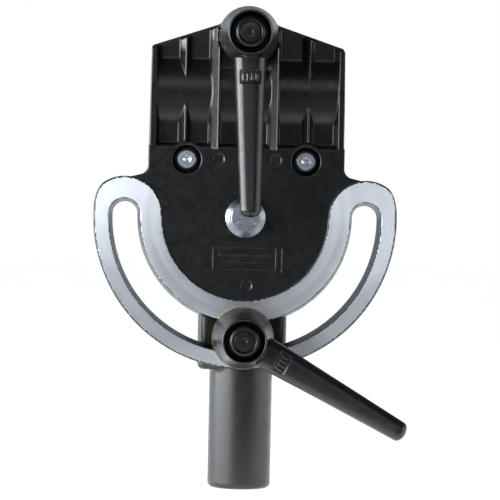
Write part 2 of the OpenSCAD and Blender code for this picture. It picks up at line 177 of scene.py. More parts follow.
def between(value, low, high):
    """Negative where value lies between low and high."""
    return np.abs(value - (low + high) / 2) - (high - low) / 2


def rounded_box(a, b, half_a, half_b, r):
    """Outline of a rectangle with corner radius r."""
    return meet(np.abs(a) - half_a, np.abs(b) - half_b, r)


def half_gap(z):
    """Half of the gap between the casting and the rear jaw at height z."""
    return np.where(z < FOOT_TOP, FOOT_GAP, BOOM_GAP)


def quadrant_outline(x, z):
    """Lower half disc of the ring with a round lobe at each end of the slot."""
    reach = np.hypot(x, z) - RING_R
    lobes = np.hypot(np.abs(x) - SLOT_R, np.maximum(z - LOBE_UP, 0)) - LOBE_R
    return meet(reach, join(z, lobes, 1.0), 3.0)


def slot_field(x, y, z):
    """The arc slot, whose walls lean in towards the rear."""
    half_w = SLOT_HALF_W - SLOT_DRAFT * (y - RING_FRONT)
    past = np.maximum(z - LOBE_UP, 0)
    off_mid = np.where(z < 0, np.abs(np.hypot(x, z) - SLOT_R), np.hypot(np.abs(x) - SLOT_R, past))
    return off_mid - half_w


def plate_field(x, y, z):
    """Flat casting at the quadrant: ring, painted plate and the wings between them."""
    ax = np.abs(x)
    wing_line = (z - WING_TOP + WING_SLOPE * (ax - BODY_HALF_W)) * WING_SLOPE_COS
    wing = np.maximum(np.maximum(wing_line, ax - WING_REACH), -z - 2)
    column = np.maximum(np.maximum(ax - BODY_HALF_W, z - PLATE_TOP), -z)
    hinge_boss = np.hypot(ax - HINGE_X, z - HINGE_UP) - 8.1
    outline = join(join(column, wing, 3.0), quadrant_outline(x, z))
    outline = join(outline, hinge_boss, 0.8)
    plate = meet(outline, between(y, PLATE_FRONT, PLATE_REAR), 0.5)
    face = np.maximum(quadrant_outline(x, z) + 0.5, DISC_R - np.hypot(x, z))
    ring = meet(face, between(y, RING_FRONT, PLATE_REAR - 2), 0.12)
    return np.minimum(plate, ring)


def roof_field(x, z):
    """Negative under the sloping roof."""
    return (z - ROOF_PEAK + ROOF_SLOPE * np.abs(x)) * math.cos(ROOF_ANGLE)


def front_relief(x, y, z):
    """Front surface of the clamp: bulge over the boom, ribs, flange, lever boss and the step to the plate."""
    boss_half_w, boss_foot, boss_slope = 13.2, 66, 0.4
    under_roof, step_slope = 1.4, 0.25
    relief = join(FLOOR_FRONT - y, np.hypot(y, z - BOOM_UP) - BULGE_R, 0.8)
    depth = y - PLATE_FRONT
    for centre, half_top, top, left_slope, right_slope, shoulder in RIBS:
        below = depth - top
        across = x - np.sign(x) * centre
        slope = np.where(across > 0, right_slope, left_slope)
        flank = slope * np.minimum(below, shoulder) + RIB_DRAFT * np.maximum(below - shoulder, 0)
        rib = np.maximum(np.abs(across) - half_top - flank, PLATE_TOP - 1 - z)
        rib = np.maximum(rib, roof_field(x, z) + under_roof)
        relief = join(relief, meet(rib, -below, 0.2), 0.4)
    boss = np.maximum(np.abs(x) - boss_half_w, boss_foot - z + boss_slope * depth)
    boss = meet(boss, LEVER_SEAT_Y - y, 0.5)
    step = meet(z - PLATE_TOP - step_slope * depth, PLATE_FRONT - y, 0.6)
    return np.minimum(join(relief, boss, 0.8), step)


def side_field(x, y, z):
    """Sides of the clamp body, which draw in a little upwards and spread a little to the rear."""
    taper, taper_foot = 0.012, 19
    front_half_w, draft = 43.6, 0.08
    ax = np.abs(x)
    upright = ax - BODY_HALF_W + taper * np.maximum(z - taper_foot, 0)
    spread = (ax - front_half_w - draft * (y - PLATE_FRONT)) * 0.99
    return np.maximum(upright, spread)


def body_bores(body, x, y, z):
    """The body less its holes: hinge screws, pivot, clamp stud and the shallow marks."""
    pocket_draft = 0.16
    screw = np.hypot(np.abs(x) - HINGE_X, z - HINGE_UP)
    pocket = screw - HINGE_POCKET_R + pocket_draft * (y - PLATE_FRONT)
    pocket = np.maximum(pocket, y - HINGE_POCKET_FLOOR)
    body = cut(body, pocket, 0.3)
    body = cut(body, screw - HINGE_BORE_R)
    body = cut(body, np.hypot(x, z) - PIVOT_BORE_R)
    stud = np.hypot(x, z - CLAMP_UP)
    body = cut(body, np.maximum(stud - LEVER_SEAT_R, y - LEVER_SEAT_Y), 0.2)
    spring_pocket = np.maximum(stud - JAW_SPRING_R, JAW_SPRING_FRONT - y)
    body = cut(body, np.minimum(stud - STUD_BORE_R, spring_pocket))
    for mark_x, mark_z in MARKS:
        mark = np.maximum(np.hypot(x - mark_x, z - mark_z) - MARK_R, y - PLATE_FRONT - MARK_DEPTH)
        body = cut(body, mark, 0.1)
    return body


def body_field(x, y, z):
    """The clamp body and its quadrant ring, in one casting."""
    block = meet(meet(side_field(x, y, z), roof_field(x, z), 1.0), front_relief(x, y, z), 0.5)
    block = meet(meet(block, BODY_FOOT - z, 1.0), y + half_gap(z), 0.5)
    body = np.minimum(plate_field(x, y, z), block)
    body = cut(body, slot_field(x, y, z), 0.25)
    body = cut(body, np.hypot(y, z - BOOM_UP) - BOOM_R, 0.5)
    return body_bores(body, x, y, z)


def jaw_field(x, y, z):
    """The rear jaw: shell over the boom, foot at the hinge screws, end ribs and the ear for the cross nut."""
    half_w, foot_rear, foot_top = 38, 16, 38
    strap_rear, strap_top = 10, 75
    rib_x, rib_half_w, rib_rear, rib_top = 36.5, 1.5, 23.5, 74
    ear_half_w, ear_y, ear_z, ear_half_y, ear_half_z = 12.5, 11.75, 77, 10.75, 16.5
    nut_y, stud_hole_r, spring_floor, screw_hole_r = 14, 5, 4, 3.4
    ax = np.abs(x)
    shell = np.hypot(y, z - BOOM_UP) - BULGE_R
    foot = meet(y - foot_rear, z - foot_top - 0.6 * (foot_rear - y), 2.0)
    strap = np.maximum(y - strap_rear, z - strap_top)
    rear = (y - rib_rear + 1.12 * np.maximum(z - 62, 0)) * 0.67
    under = (y - foot_rear - 0.42 * (z - 30)) * 0.92
    ribs = meet(np.abs(ax - rib_x) - rib_half_w, rear, 1.0)
    ribs = np.maximum(ribs, np.maximum(z - rib_top, under))
    jaw = join(join(shell, foot, 3.0), join(strap, ribs, 1.5), 1.5)
    jaw = meet(jaw, ax - half_w, 1.2)
    crown = np.where(z > CLAMP_UP, np.hypot(x, z - CLAMP_UP), ax) - ear_half_w
    ear = meet(rounded_box(y - ear_y, z - ear_z, ear_half_y, ear_half_z, 4.0), crown, 1.5)
    jaw = join(jaw, ear, 2.0)
    jaw = meet(meet(jaw, BODY_FOOT - z, 1.0), half_gap(z) - y, 0.5)
    jaw = cut(jaw, np.hypot(y, z - BOOM_UP) - BOOM_R, 0.5)
    jaw = cut(jaw, np.hypot(y - nut_y, z - CLAMP_UP) - CROSS_NUT_R, 0.4)
    stud = np.hypot(x, z - CLAMP_UP)
    spring_pocket = np.maximum(stud - JAW_SPRING_R, y - spring_floor)
    jaw = cut(jaw, np.minimum(stud - stud_hole_r, spring_pocket), 0.3)
    return cut(jaw, np.hypot(ax - HINGE_X, z - HINGE_UP) - screw_hole_r, 0.3)


def adapter_field(x, y, z):
    """The stand adapter: a block that widens down from the pivot, and the round pin under it."""
    crown_r, neck_half_w, widening, widening_h = 16.5, 16.45, 3.55, 45
    plate_gap, pin_root = 0.2, 5
    disc_seat_r, disc_seat_rear, bolt_hole_r = 15.1, -10, 4.05
    insert_r, insert_rear = 6.5, 6
    block_foot = SLOT_R + 15
    half_w = neck_half_w + widening * np.clip(-z / widening_h, 0, 1)
    outline = np.where(z > 0, np.hypot(x, z) - crown_r, np.abs(x) - half_w)
    block = meet(outline, between(y, PLATE_REAR + plate_gap, ADAPTER_HIGH.y), 4.0)
    block = meet(block, -block_foot - z, 2.5)
    pin = meet(np.hypot(x, y) - ADAPTER_HIGH.y, between(z, ADAPTER_LOW.z, -block_foot + pin_root), 2.3)
    adapter = join(block, pin, 1.0)
    adapter = cut(adapter, np.maximum(np.hypot(x, z) - disc_seat_r, y - disc_seat_rear), 0.2)
    adapter = cut(adapter, np.hypot(x, z) - bolt_hole_r)
    insert = np.maximum(np.hypot(x, z + SLOT_R) - insert_r, y - insert_rear)
    return cut(adapter, insert, 0.2)


# Ratchet lever, in its own frame: a along the arm, b across it and u out of the hub. The arm's top and foot
# rise from their levels at the root, and its back is crowned: it drops by b squared over CROWN. LEVER_LIFT is
# how far the lever lifts off its teeth.
LEVER_LOW, LEVER_HIGH = (-14, -14, 0), (83, 14, 35)
LEVER_H = 29.0
HUB_R = 13.7
HUB_TAPER = 0.138
ARM_ROOT = 10.3
ARM_TIP = 77.5
ARM_HALF_W = 7.0
ARM_NARROWING = 2.5
TOP_ROOT, TOP_RISE = 24.0, 10.29
FOOT_ROOT, FOOT_RISE = 7.3, 18.4
CROWN = 34
CAVITY_R, CAVITY_FLOOR = 9, 9.2
SPLINE_BORE_R, SPLINE_COLLAR_R, SPLINE_COLLAR_U = 5.9, 8.1, 4.6
LABEL_A = 19.3
LABEL_DEPTH = 0.55


def lever_field(a, b, u):
    """A ratchet lever: a along the arm, b across it, u out of the hub."""
    radius = np.hypot(a, b)
    cone = (radius - HUB_R + HUB_TAPER * u) * 0.99
    hub = meet(cone, between(u, 0.15, LEVER_H), 0.35)
    t = np.clip((a - ARM_ROOT) / (ARM_TIP - ARM_ROOT), 0, 1)
    past = np.maximum(a - ARM_TIP, 0)
    top = TOP_ROOT + TOP_RISE * t ** 1.6
    foot = FOOT_ROOT + FOOT_RISE * t ** 1.15
    rise = u - (top + foot) / 2
    half_h = (top - foot) / 2
    drop = np.where(rise > 0, b * b / CROWN, 0)
    plan = np.hypot(past, b) - ARM_HALF_W + ARM_NARROWING * t
    side = (np.hypot(past, rise + drop) - half_h) * 0.97
    arm = meet(meet(plan, side, 3.5), ARM_ROOT - a, 0.7)
    lever = join(hub, arm, 0.5)
    lever = lever_label(lever, a, b, u, top - b * b / CROWN)
    lever = cut(lever, np.maximum(radius - CAVITY_R, CAVITY_FLOOR - u), 0.2)
    collar = np.maximum(radius - SPLINE_COLLAR_R, u - SPLINE_COLLAR_U)
    return cut(lever, np.minimum(radius - SPLINE_BORE_R, collar))


def lever_label(lever, a, b, u, skin):
    """The lever with a shallow panel in its skin and four plain bars in the panel."""
    panel = np.maximum(rounded_box(a - LABEL_A, b, 2.8, 4.6, 0.5), skin - LABEL_DEPTH - u)
    lever = cut(lever, panel, 0.1)
    bar_layer = np.abs(u - skin + 0.6) - 0.4
    for across in (-2.9, -1.0, 0.9, 2.8):
        bar = np.maximum(rounded_box(a - LABEL_A, b - across, 1.7, 0.45, 0.4), bar_layer)
        lever = np.minimum(lever, bar)
    return lever


# ---- Meshes -------------------------------------------------------------------------------------------


def unit(axis):
    """The grid step along one axis."""
    return np.eye(3, dtype=int)[axis]


def cell_points(values, cells):
    """Mean of the edge crossings of each mixed cell, in grid units."""
    total = np.zeros((len(cells), 3))
    hits = np.zeros(len(cells))
    for axis in range(3):
        others = [unit(k) for k in range(3) if k != axis]
        for i in (0, 1):
            for k in (0, 1):
                low = cells + i * others[0] + k * others[1]
                high = low + unit(axis)
                v0, v1 = values[tuple(low.T)], values[tuple(high.T)]
                crossed = (v0 < 0) != (v1 < 0)
                point = low[crossed].astype(float)
                point[:, axis] += v0[crossed] / (v0[crossed] - v1[crossed])
                total[crossed] += point
                hits[crossed] += 1
    return total / hits[:, None]


def cell_quads(inside, index):
    """One quad round each grid edge that the surface crosses."""
    quads = []
    for axis in range(3):
        b, c = (axis + 1) % 3, (axis + 2) % 3
        first = [slice(1, -1)] * 3
        first[axis] = slice(0, -1)
        second = list(first)
        second[axis] = slice(1, None)
        here, there = inside[tuple(first)], inside[tuple(second)]
        place = np.argwhere(here != there)
        corner = place + unit(b) + unit(c)
        ring = [corner, corner - unit(b), corner - unit(b) - unit(c), corner - unit(c)]
        quad = np.stack([index[tuple(p.T)] for p in ring], axis=1)
        outward = here[tuple(place.T)]
        quads += [quad[outward], quad[~outward][:, ::-1]]
    return np.concatenate(quads)


def settle(field, points, step, passes=4):
    """Moves points onto the zero level of the field along its slope, by less than half a step at a time."""
    probe = 0.04
    for _ in range(passes):
        value = field(*points.T)
        ahead = [field(*(points + probe * unit(k)).T) for k in range(3)]
        behind = [field(*(points - probe * unit(k)).T) for k in range(3)]
        slope = np.stack([(a - b) / (2 * probe) for a, b in zip(ahead, behind)], axis=1)
        size = np.maximum((slope ** 2).sum(1), 0.25)
        move = slope * (value / size)[:, None]
        length = np.linalg.norm(move, axis=1)
        move *= np.minimum(1, 0.4 * step / np.maximum(length, 1e-9))[:, None]
        points = points - move
    return points


def surface(name, field, low, high, step):
    """Mesh of a field's zero level in quads, in metres about its own origin."""
    axes = [np.arange(a - 1.5 * step, b + 2.5 * step, step) for a, b in zip(low, high)]
    values = field(*np.meshgrid(*axes, indexing="ij"))
    inside = values < 0
    corners = sum(inside[i:i - 1 or None, j:j - 1 or None, k:k - 1 or None].astype(np.int8)
                  for i in (0, 1) for j in (0, 1) for k in (0, 1))
    mixed = (corners > 0) & (corners < 8)
    cells = np.argwhere(mixed)
    index = np.full(mixed.shape, -1)
    index[mixed] = np.arange(len(cells))
    start = np.array([axis[0] for axis in axes])
    points = settle(field, start + step * cell_points(values, cells), step)
    mesh = bpy.data.meshes.new(name)
    mesh.from_pydata((points * MM).tolist(), [], cell_quads(inside, index).tolist())
    mesh.validate()
    mesh.shade_smooth()
    return mesh


def place(name, mesh, body, matrix, replaced, slot):
    """Links a mesh as a piece that rides on a body and stands for CAD nodes."""
    piece = bpy.data.objects.new(name, mesh)
    bpy.context.scene.collection.objects.link(piece)
    piece.matrix_world = matrix
    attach(piece, body)
    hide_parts(*replaced)
    return piece


def lever_turn(direction):
    """Turn of a lever's frame: X along the arm and Z out of the hub towards the front."""
    return Matrix.Rotation(-math.radians(direction), 4, "Y") @ Matrix.Rotation(math.pi / 2, 4, "X")


def coil_mesh(name, mean_r, wire_r, turns, height):
    """A coil spring along local Z whose first and last windings lie flat."""
    per_turn, around, flat = 48, 12, 0.12
    count = int(turns * per_turn)
    verts, faces = [], []
    for i in range(count + 1):
        angle = 2 * math.pi * i / per_turn
        t = i / count
        level = wire_r + (height - 2 * wire_r) * min(max((t - flat) / (1 - 2 * flat), 0), 1)
        for k in range(around):
            turn = 2 * math.pi * k / around
            r = mean_r + wire_r * math.cos(turn)
            rise = level + wire_r * math.sin(turn)
            verts.append((r * math.cos(angle) * MM, r * math.sin(angle) * MM, rise * MM))
    for i in range(count):
        for k in range(around):
            n = (k + 1) % around
            faces.append((i * around + k, (i + 1) * around + k, (i + 1) * around + n, i * around + n))
    faces.append(tuple(reversed(range(around))))
    faces.append(tuple(count * around + k for k in range(around)))
    mesh = bpy.data.meshes.new(name)
    mesh.from_pydata(verts, [], faces)
    mesh.validate()
    mesh.shade_smooth()
    mesh.set_sharp_from_angle(angle=math.radians(50))
    return mesh


def lathe(name, profile, count):
    """Closed mesh of a profile of (radius, level) pairs in millimetres, turned about local Z.

    The profile starts and ends on the axis, and count is the number of steps round it.
    """
    verts, faces = [], []
    for radius, level in profile[1:-1]:
        for k in range(count):
            angle = 2 * math.pi * k / count
            verts.append((radius * math.cos(angle) * MM, radius * math.sin(angle) * MM, level * MM))
    rings = len(profile) - 2
    for i in range(rings - 1):
        for k in range(count):
            n = (k + 1) % count
            faces.append((i * count + k, i * count + n, (i + 1) * count + n, (i + 1) * count + k))
    for tip, ring in ((profile[0], 0), (profile[-1], rings - 1)):
        verts.append((0.0, 0.0, tip[1] * MM))
        for k in range(count):
            pair = (ring * count + k, ring * count + (k + 1) % count)
            faces.append((len(verts) - 1, *(pair if ring else pair[::-1])))
    mesh = bpy.data.meshes.new(name)
    mesh.from_pydata(verts, [], faces)
    mesh.validate()
    mesh.shade_smooth()
    mesh.set_sharp_from_angle(angle=math.radians(40))
    return mesh


def arc(centre_r, centre_u, r, start, stop, steps):
    """Points on a circle in the profile's plane, from angle start to stop in degrees."""
    turns = [math.radians(start + (stop - start) * i / steps) for i in range(steps + 1)]
    return [(centre_r + r * math.cos(a), centre_u + r * math.sin(a)) for a in turns]


# Profile of a lever's cap, from the axis over the hollow inside, the foot and the rim to the dimple in front.
CAP_FOOT = 21.3
CAP_INSIDE = CAP_FOOT + 4.6
CAP_PROFILE = ([(0.0, CAP_INSIDE), (4.4, CAP_INSIDE), (4.45, CAP_FOOT), (6.7, CAP_FOOT)]
               + [(6.9, CAP_FOOT + 0.2), (6.9, 27.7), (6.8, 27.95), (5.95, 28.75), (5.7, 28.9), (5.4, 28.9)]
               + arc(5.4, 28.4, 0.5, 90, 180, 5)
               + [(4.95, 27.75), (4.75, 27.6), (4.6, 27.65)] + arc(4.2, 27.9, 0.4, 0, 90, 4)
               + [(2.4, 28.38), (1.3, 28.42), (1.15, 28.35), (0.9, 27.9), (0.0, 27.6)])


# ---- Materials ----------------------------------------------------------------------------------------

# Sockets of the Mix node for each kind of value: first value, second value, result.
MIX_SOCKETS = {"FLOAT": (2, 3, 0), "VECTOR": (4, 5, 1), "RGBA": (6, 7, 2)}


class Tree:
    """Short calls for building a node tree."""

    def __init__(self, tree):
        """Takes the node tree to build in."""
        self.tree = tree

    def add(self, kind, **settings):
        """A new node with its properties set."""
        node = self.tree.nodes.new(kind)
        for key, value in settings.items():
            setattr(node, key, value)
        return node

    def feed(self, socket, value):
        """Links an output to a socket, or sets the socket's own value."""
        if isinstance(value, bpy.types.NodeSocket):
            self.tree.links.new(value, socket)
        else:
            socket.default_value = value

    def remap(self, value, low, high, to_low, to_high, **settings):
        """The value, with the range from low to high stretched onto the range from to_low to to_high."""
        node = self.add("ShaderNodeMapRange", **settings)
        self.feed(node.inputs["Value"], value)
        for key, number in (("From Min", low), ("From Max", high), ("To Min", to_low), ("To Max", to_high)):
            self.feed(node.inputs[key], number)
        return node.outputs["Result"]

    def math(self, operation, a, b=0.0):
        """The result of one Math node."""
        node = self.add("ShaderNodeMath", operation=operation)
        self.feed(node.inputs[0], a)
        self.feed(node.inputs[1], b)
        return node.outputs["Value"]

    def mix(self, factor, a, b, kind="RGBA"):
        """Value a where factor is 0 and b where it is 1."""
        first, second, result = MIX_SOCKETS[kind]
        node = self.add("ShaderNodeMix", data_type=kind)
        self.feed(node.inputs[0], factor)
        self.feed(node.inputs[first], a)
        self.feed(node.inputs[second], b)
        return node.outputs[result]

    def split(self, vector):
        """The x, y and z of a vector."""
        node = self.add("ShaderNodeSeparateXYZ")
        self.feed(node.inputs[0], vector)
        return list(node.outputs)


class Nodes(Tree):
    """One material's node tree, with the textures that the materials share."""

    def __init__(self, name):
        """Makes a new material of this name."""
        self.material = bpy.data.materials.new(name)
        self.material.use_nodes = True
        super().__init__(self.material.node_tree)
        self.shader = self.tree.nodes["Principled BSDF"]
        self.place = self.add("ShaderNodeTexCoord").outputs["Object"]

    def noise(self, size_mm, detail=3.0, stretch=None):
        """Noise with features of about size_mm, centred on 0.5."""
        source = self.place
        if stretch:
            mapping = self.add("ShaderNodeMapping")
            self.feed(mapping.inputs["Vector"], source)
            mapping.inputs["Scale"].default_value = stretch
            source = mapping.outputs["Vector"]
        node = self.add("ShaderNodeTexNoise")
        self.feed(node.inputs["Vector"], source)
        node.inputs["Scale"].default_value = 1 / (size_mm * MM)
        node.inputs["Detail"].default_value = detail
        return node.outputs["Fac"]

    def rings(self, radius, size_mm, detail):
        """Noise that changes with the radius only, like the marks of a turning tool."""
        node = self.add("ShaderNodeTexNoise", noise_dimensions="1D")
        self.feed(node.inputs["W"], radius)
        node.inputs["Scale"].default_value = 1 / (size_mm * MM)
        node.inputs["Detail"].default_value = detail
        return node.outputs["Fac"]

    def bump(self, height, depth_mm, under=None):
        """Normal of a height map, on top of another normal if one is given."""
        node = self.add("ShaderNodeBump")
        node.inputs["Strength"].default_value = 1.0
        node.inputs["Distance"].default_value = depth_mm * MM
        self.feed(node.inputs["Height"], height)
        if under is not None:
            self.feed(node.inputs["Normal"], under)
        return node.outputs["Normal"]

    def edges(self):
        """1 on sharp outer edges and 0 on flats."""
        return self.remap(self.add("ShaderNodeNewGeometry").outputs["Pointiness"], 0.52, 0.6, 0.0, 1.0)

    def true_normal(self):
        """The mesh's own normal, without bumps."""
        return self.add("ShaderNodeNewGeometry").outputs["True Normal"]

    def facing(self):
        """1 on faces that look to the front or the rear, and 0 on faces along the y axis."""
        return self.math("ABSOLUTE", self.split(self.true_normal())[1])

    def set(self, **sockets):
        """Sets shader inputs, with spaces in their names written as underscores."""
        for key, value in sockets.items():
            self.feed(self.shader.inputs[key.replace("_", " ")], value)
        return self.material


def grey(level, tint=(1.0, 1.0, 1.0)):
    """A linear colour of one level, with a tint."""
    return (level * tint[0], level * tint[1], level * tint[2], 1.0)


COOL = (0.94, 0.98, 1.08)


def paint_parts(n, level, roughness, orange_peel_mm, grain_mm):
    """Colour, roughness and normal of a satin black finish over a casting, worn a little at its edges."""
    cloud = n.noise(9.0, 4.0)
    worn = n.math("MULTIPLY", n.edges(), n.remap(n.noise(2.2, 5.0), 0.42, 0.62, 0.0, 0.55))
    colour = n.mix(cloud, grey(level * 0.8, COOL), grey(level * 1.25, COOL))
    colour = n.mix(worn, colour, grey(0.03))
    rough = n.math("ADD", n.remap(n.noise(3.5, 5.0), 0.3, 0.7, roughness - 0.06, roughness + 0.07),
                   n.math("MULTIPLY", worn, -0.1))
    peel = n.bump(n.noise(orange_peel_mm, 2.0), 0.03)
    normal = n.bump(n.noise(grain_mm, 2.0), 0.012, peel)
    return colour, rough, normal


def turned_face(n, radius):
    """Colour, roughness and normal of bare aluminium with fine turning marks and a faint stain."""
    grooves = n.rings(radius, 0.35, 4.0)
    bands = n.rings(radius, 3.0, 3.0)
    stain = n.noise(14.0, 4.0)
    colour = n.mix(stain, grey(0.62, (0.95, 0.99, 1.06)), grey(0.74, (0.96, 1.0, 1.05)))
    colour = n.mix(n.remap(grooves, 0.3, 0.7, 0.0, 0.25), colour, grey(0.42, COOL))
    rough = n.math("ADD", n.remap(bands, 0.3, 0.7, 0.45, 0.51), n.remap(stain, 0.3, 0.7, -0.03, 0.05))
    return colour, rough, n.bump(grooves, 0.004, n.true_normal())


def painted_casting():
    """Satin black paint on an aluminium casting, showing bare metal where the ring's face is machined."""
    n = Nodes("painted_casting")
    colour, rough, normal = paint_parts(n, 0.005, 0.31, 1.3, 0.35)
    x, y, z = n.split(n.place)
    facing = n.facing()

    # Bare metal: faces that look forward, at the ring's level or in front of it. Other paint there is matt.
    at_ring = n.remap(y, (RING_FRONT + 0.2) * MM, (RING_FRONT + 0.1) * MM, 0.0, 1.0)
    machined = n.math("MULTIPLY", at_ring, n.remap(facing, 0.9, 0.98, 0.0, 1.0))
    rough = n.math("ADD", rough, n.remap(y, (RING_FRONT + 0.5) * MM, (RING_FRONT + 0.4) * MM, 0.0, 0.4))

    # The steep walls of the quadrant, such as the slot's, reflect less.
    low_down = n.remap(z, 16 * MM, 12 * MM, 0.0, 1.0)
    wall = n.math("MULTIPLY", n.remap(facing, 0.5, 0.3, 0.0, 1.0), low_down)
    gloss = n.remap(wall, 0.0, 1.0, 0.5, 0.08)

    flat = n.add("ShaderNodeCombineXYZ")
    n.feed(flat.inputs[0], x)
    n.feed(flat.inputs[2], z)
    length = n.add("ShaderNodeVectorMath", operation="LENGTH")
    n.feed(length.inputs[0], flat.outputs[0])
    bare, bare_rough, bare_normal = turned_face(n, length.outputs["Value"])
    tangent = n.add("ShaderNodeTangent", direction_type="RADIAL", axis="Y")
    return n.set(Base_Color=n.mix(machined, colour, bare), Metallic=machined, Specular_IOR_Level=gloss,
                 Roughness=n.mix(machined, rough, bare_rough, "FLOAT"),
                 Normal=n.mix(machined, normal, bare_normal, "VECTOR"),
                 Anisotropic=n.math("MULTIPLY", machined, 0.65), Anisotropic_Rotation=0.25,
                 Tangent=tangent.outputs[0])


def satin_black(name, level, roughness, orange_peel_mm, grain_mm):
    """Satin black paint or powder coat all over."""
    n = Nodes(name)
    colour, rough, normal = paint_parts(n, level, roughness, orange_peel_mm, grain_mm)
    return n.set(Base_Color=colour, Roughness=rough, Normal=normal)


def moulded(name, level, tint, roughness):
    """Fine matt moulded plastic."""
    n = Nodes(name)
    colour = n.mix(n.noise(6.0), grey(level * 0.85, tint), grey(level * 1.15, tint))
    rough = n.remap(n.noise(1.5, 4.0), 0.3, 0.7, roughness - 0.05, roughness + 0.06)
    return n.set(Base_Color=colour, Roughness=rough, Normal=n.bump(n.noise(0.22, 2.0), 0.008))


def plated(name, dark, light, roughness, spangle_mm=1.6, scratch_mm=0.003, slant_shade=1.0):
    """Plated or turned metal with faint clouding and fine scratches.

    Painted shade: faces turned away from the front are darkened to a share of their colour, given by the last
    argument.
    """
    n = Nodes(name)
    colour = n.mix(n.remap(n.noise(spangle_mm, 4.0), 0.3, 0.7, 0.0, 1.0), dark, light)
    # Painted shade: faces turned away from the front keep only part of their colour.
    colour = n.mix(n.remap(n.facing(), 0.82, 0.95, slant_shade, 1.0), grey(0.02), colour)
    scratch = n.noise(0.25, 3.0, stretch=(1.0, 1.0, 0.08))
    rough = n.math("ADD", n.remap(n.noise(0.8, 5.0), 0.3, 0.7, roughness - 0.05, roughness + 0.08),
                   n.remap(scratch, 0.35, 0.65, -0.03, 0.03))
    return n.set(Base_Color=colour, Metallic=1.0, Roughness=rough, Normal=n.bump(scratch, scratch_mm))


MATERIALS = {
    "painted_casting": painted_casting(),
    "powder_coat": satin_black("powder_coat", 0.005, 0.33, orange_peel_mm=1.0, grain_mm=0.3),
    "adapter_paint": satin_black("adapter_paint", 0.006, 0.36, orange_peel_mm=1.4, grain_mm=0.4),
    "zinc_plate": plated("zinc_plate", (0.58, 0.64, 0.70, 1), (0.64, 0.70, 0.76, 1), 0.33,
                         spangle_mm=3.0, scratch_mm=0.001),
    # The pivot bolt's zinc has painted shade on its faces that turn away from the front.
    "bolt_zinc_painted_shade": plated("bolt_zinc_painted_shade", (0.52, 0.57, 0.63, 1), (0.60, 0.66, 0.72, 1), 0.31,
                        spangle_mm=3.0, scratch_mm=0.001, slant_shade=0.35),
    "black_steel": plated("black_steel", (0.012, 0.012, 0.014, 1), (0.03, 0.03, 0.034, 1), 0.45),
    "steel": plated("steel", (0.36, 0.36, 0.38, 1), (0.52, 0.52, 0.54, 1), 0.30),
    "spring_steel": plated("spring_steel", (0.25, 0.25, 0.27, 1), (0.4, 0.4, 0.42, 1), 0.28),
    "yellow_zinc": plated("yellow_zinc", (0.62, 0.46, 0.16, 1), (0.85, 0.70, 0.36, 1), 0.25),
    "nylon": moulded("nylon", 0.72, (1.0, 0.99, 0.93), 0.5),
    "black_plastic": moulded("black_plastic", 0.006, (1.0, 1.0, 1.04), 0.30),
}


def finish_with(piece, material):
    """Puts one material in every slot of a piece."""
    if not piece.material_slots:
        piece.data.materials.append(None)
    for slot in piece.material_slots:
        slot.material = MATERIALS[material]


EDGE_BEVEL = 0.18


def dress_cad_nodes():
    """Small parts keep their CAD mesh, with softened edges and their slot's material."""
    for part in frame["record"]["subparts"]:
        piece = frame["nodes"][part["node"]]
        # The pivot bolt takes the zinc with painted shade on its slanted faces.
        finish_with(piece, "bolt_zinc_painted_shade" if part["node"] == "pivot_bolt" else part["material_slot"])
        if piece.hide_render:
            continue
        piece.data.shade_smooth()
        piece.data.set_sharp_from_angle(angle=math.radians(32))
        bevel = piece.modifiers.new("edges", "BEVEL")
        bevel.width = EDGE_BEVEL * MM
        bevel.segments = 2
        bevel.limit_method = "ANGLE"
        bevel.angle_limit = math.radians(40)
        bevel.harden_normals = True


# ---- Pieces -------------------------------------------------------------------------------------------


def build_castings():
    """Clamp body, rear jaw and stand adapter."""
    for name, field, node, body, step, material in (
            ("clamp_casting", body_field, "clamp_body", "head", 0.5, "painted_casting"),
            ("jaw_casting", jaw_field, "rear_jaw", "jaw", 0.6, "adapter_paint"),
            ("adapter_casting", adapter_field, "stand_adapter", "stand", 0.6, "adapter_paint")):
        low, high = mm_box(node)
        mesh = surface(name, field, low, high, step)
        piece = place(name, mesh, body, Matrix.Translation(PIVOT), [node], "painted_casting")
        finish_with(piece, material)


def build_levers():
    """Both levers share one shape, and so do their caps. Turns are baked into the meshes."""
    lever = surface("lever", lever_field, LEVER_LOW, LEVER_HIGH, 0.4)
    cap = lathe("cap", CAP_PROFILE, 96)
    for side, axis, direction in (("clamp", CLAMP_AXIS, -89.0), ("tilt", TILT_AXIS, -29.0)):
        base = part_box(f"{side}_lever")[1].y + 0.15 * MM
        origin = Matrix.Translation((axis.x, base, axis.z))
        for shape, suffix, node, body, slot in (
                (lever, "lever_casting", f"{side}_lever", f"{side}_handle", "powder_coat"),
                (cap, "cap_moulding", f"{side}_lever_cap", f"{side}_spindle", "black_plastic")):
            mesh = shape.copy()
            mesh.transform(lever_turn(direction))
            finish_with(place(f"{side}_{suffix}", mesh, body, origin, [node], slot), slot)


def build_springs():
    """Coils at their rest length. Each lever's spring gets a mesh of its own."""
    springs = (("clamp_lever_spring", "clamp_spindle", 7.3, 0.6, "clamp_lever_lift"),
               ("tilt_lever_spring", "tilt_spindle", 7.3, 0.6, "tilt_lever_lift"),
               ("jaw_spring", "head", 6.2, 0.7, None))
    for node, body, mean_r, wire_r, lift in springs:
        low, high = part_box(node)
        height = (high.y - low.y) / MM
        matrix = Matrix.Translation(((low.x + high.x) / 2, high.y, (low.z + high.z) / 2))
        matrix = matrix @ Matrix.Rotation(math.pi / 2, 4, "X")
        mesh = coil_mesh(node, mean_r, wire_r, 5, height)
        piece = place(node + "_coil", mesh, body, matrix, [node], "spring_steel")
        finish_with(piece, "spring_steel")
        if lift:
            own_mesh(piece)


